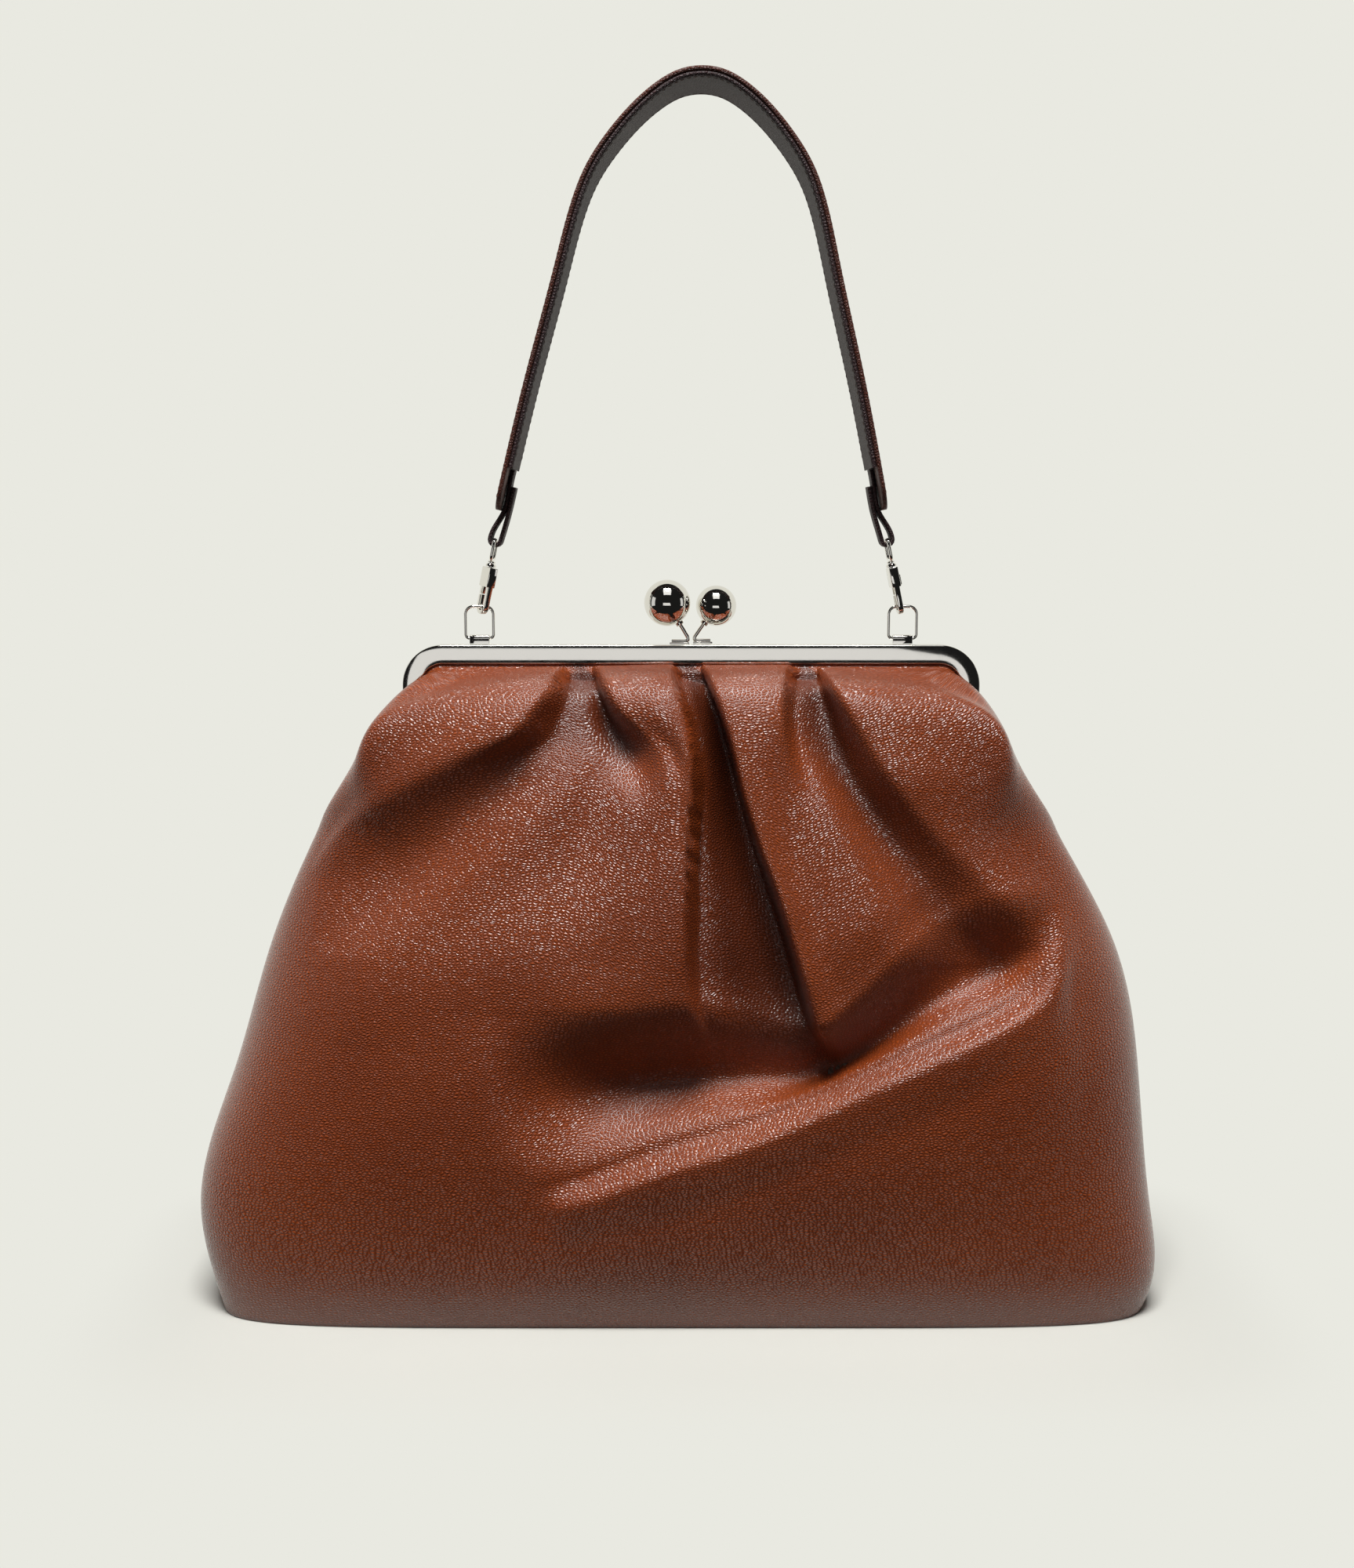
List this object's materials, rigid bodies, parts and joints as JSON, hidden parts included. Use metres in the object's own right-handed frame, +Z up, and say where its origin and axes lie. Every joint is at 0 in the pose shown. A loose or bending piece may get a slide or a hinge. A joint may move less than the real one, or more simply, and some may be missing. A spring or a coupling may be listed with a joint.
{
  "type": "frame bag",
  "caption": "Gathered leather frame bag that opens at a hinged metal mouth with a two-ball clasp, with a short leather shoulder strap clipped on by swivelling snap hooks.",
  "frame": {"origin": "On the floor under the middle of the base, which is also under the middle of the frame.", "axes": "+X to the viewer's right across the front, +Y from the front to the back, +Z up along the bag's height."},
  "size_m": [0.4229, 0.1261, 0.5272],
  "materials": {
    "hardware": "polished nickel plate",
    "spring_wire": "drawn spring wire",
    "body_leather": "pebbled brown leather with a low sheen",
    "strap_leather": "dark brown pebbled leather",
    "strap_lining_leather": "dark purple-brown pebbled leather",
    "lining_fabric": "plain woven lining",
    "stiffener": "pressed grey-brown board",
    "packing": "twisted paper cord"
  },
  "bodies": {
    "bag": {"front_panel": "body_leather", "back_panel": "body_leather", "base_panel": "body_leather", "base_board": "stiffener", "front_lining": "lining_fabric", "back_lining": "lining_fabric", "hinge_rivet_left": "hardware", "hinge_rivet_right": "hardware"},
    "front_half": {"front_frame": "hardware", "front_packing": "packing", "lining_front_top": "lining_fabric", "clasp_arm_front": "hardware", "clasp_ball_front": "hardware"},
    "back_half": {"back_frame": "hardware", "back_packing": "packing", "lining_back_top": "lining_fabric", "clasp_arm_back": "hardware", "clasp_ball_back": "hardware", "ring_lug_left": "hardware", "ring_lug_right": "hardware"},
    "ring_left": {"d_ring_left": "hardware"},
    "ring_right": {"d_ring_right": "hardware"},
    "shoulder_strap": {"strap_outer": "strap_leather", "strap_lining": "strap_lining_leather", "strap_tab_left": "strap_lining_leather", "strap_tab_right": "strap_lining_leather", "swivel_eye_left": "hardware", "swivel_eye_right": "hardware"},
    "hook_left": {"hook_body_left": "hardware", "swivel_washer_left": "hardware", "gate_spring_left": "spring_wire"},
    "hook_right": {"hook_body_right": "hardware", "swivel_washer_right": "hardware", "gate_spring_right": "spring_wire"},
    "gate_left": {"hook_gate_left": "hardware"},
    "gate_right": {"hook_gate_right": "hardware"}
  },
  "joints": [
    {"name": "frame_open", "type": "hinge", "parent": "bag", "child": "front_half", "pos_m": [0, 0, 0.23], "axis": [1, 0, 0], "range_deg": [0, 40], "stiffness_Nm_per_rad": 0.2, "deforming": ["front_panel"]},
    {"name": "back_open", "type": "hinge", "parent": "bag", "child": "back_half", "pos_m": [0, 0, 0.23], "axis": [1, 0, 0], "range_deg": [-40, 0], "stiffness_Nm_per_rad": 0.2, "deforming": ["back_panel"]},
    {"name": "ring_swing", "type": "hinge", "parent": "back_half", "child": "ring_left", "pos_m": [-0.092, 0.00265, 0.2933], "axis": [1, 0, 0], "range_deg": [-60, 60]},
    {"name": "ring_swing_right", "type": "hinge", "parent": "back_half", "child": "ring_right", "pos_m": [0.092, 0.00265, 0.2933], "axis": [1, 0, 0], "range_deg": [-60, 60]},
    {"name": "strap_swing", "type": "hinge", "parent": "ring_left", "child": "shoulder_strap", "pos_m": [-0.0904, 0.00265, 0.3071], "axis": [1, 0, 0], "range_deg": [-60, 60]},
    {"name": "hook_turn_left", "type": "hinge", "parent": "shoulder_strap", "child": "hook_left", "pos_m": [-0.0904, 0.00265, 0.3071], "axis": [0.2079, 0, 0.9781], "range_deg": [-72, 2]},
    {"name": "hook_turn_right", "type": "hinge", "parent": "shoulder_strap", "child": "hook_right", "pos_m": [0.0904, 0.00265, 0.3071], "axis": [-0.2079, 0, 0.9781], "range_deg": [-42, 32]},
    {"name": "gate_slide_left", "type": "slide", "parent": "hook_left", "child": "gate_left", "axis": [0.2079, 0, 0.9781], "range_m": [0, 0.003], "stiffness_N_per_m": 150, "deforming": ["gate_spring_left"]},
    {"name": "gate_slide_right", "type": "slide", "parent": "hook_right", "child": "gate_right", "axis": [-0.2079, 0, 0.9781], "range_m": [0, 0.003], "stiffness_N_per_m": 150, "deforming": ["gate_spring_right"]}
  ],
  "couplings": [
    {"joint": "back_open", "follows": "frame_open", "ratio": -1},
    {"joint": "ring_swing_right", "follows": "ring_swing", "ratio": 1}
  ]
}
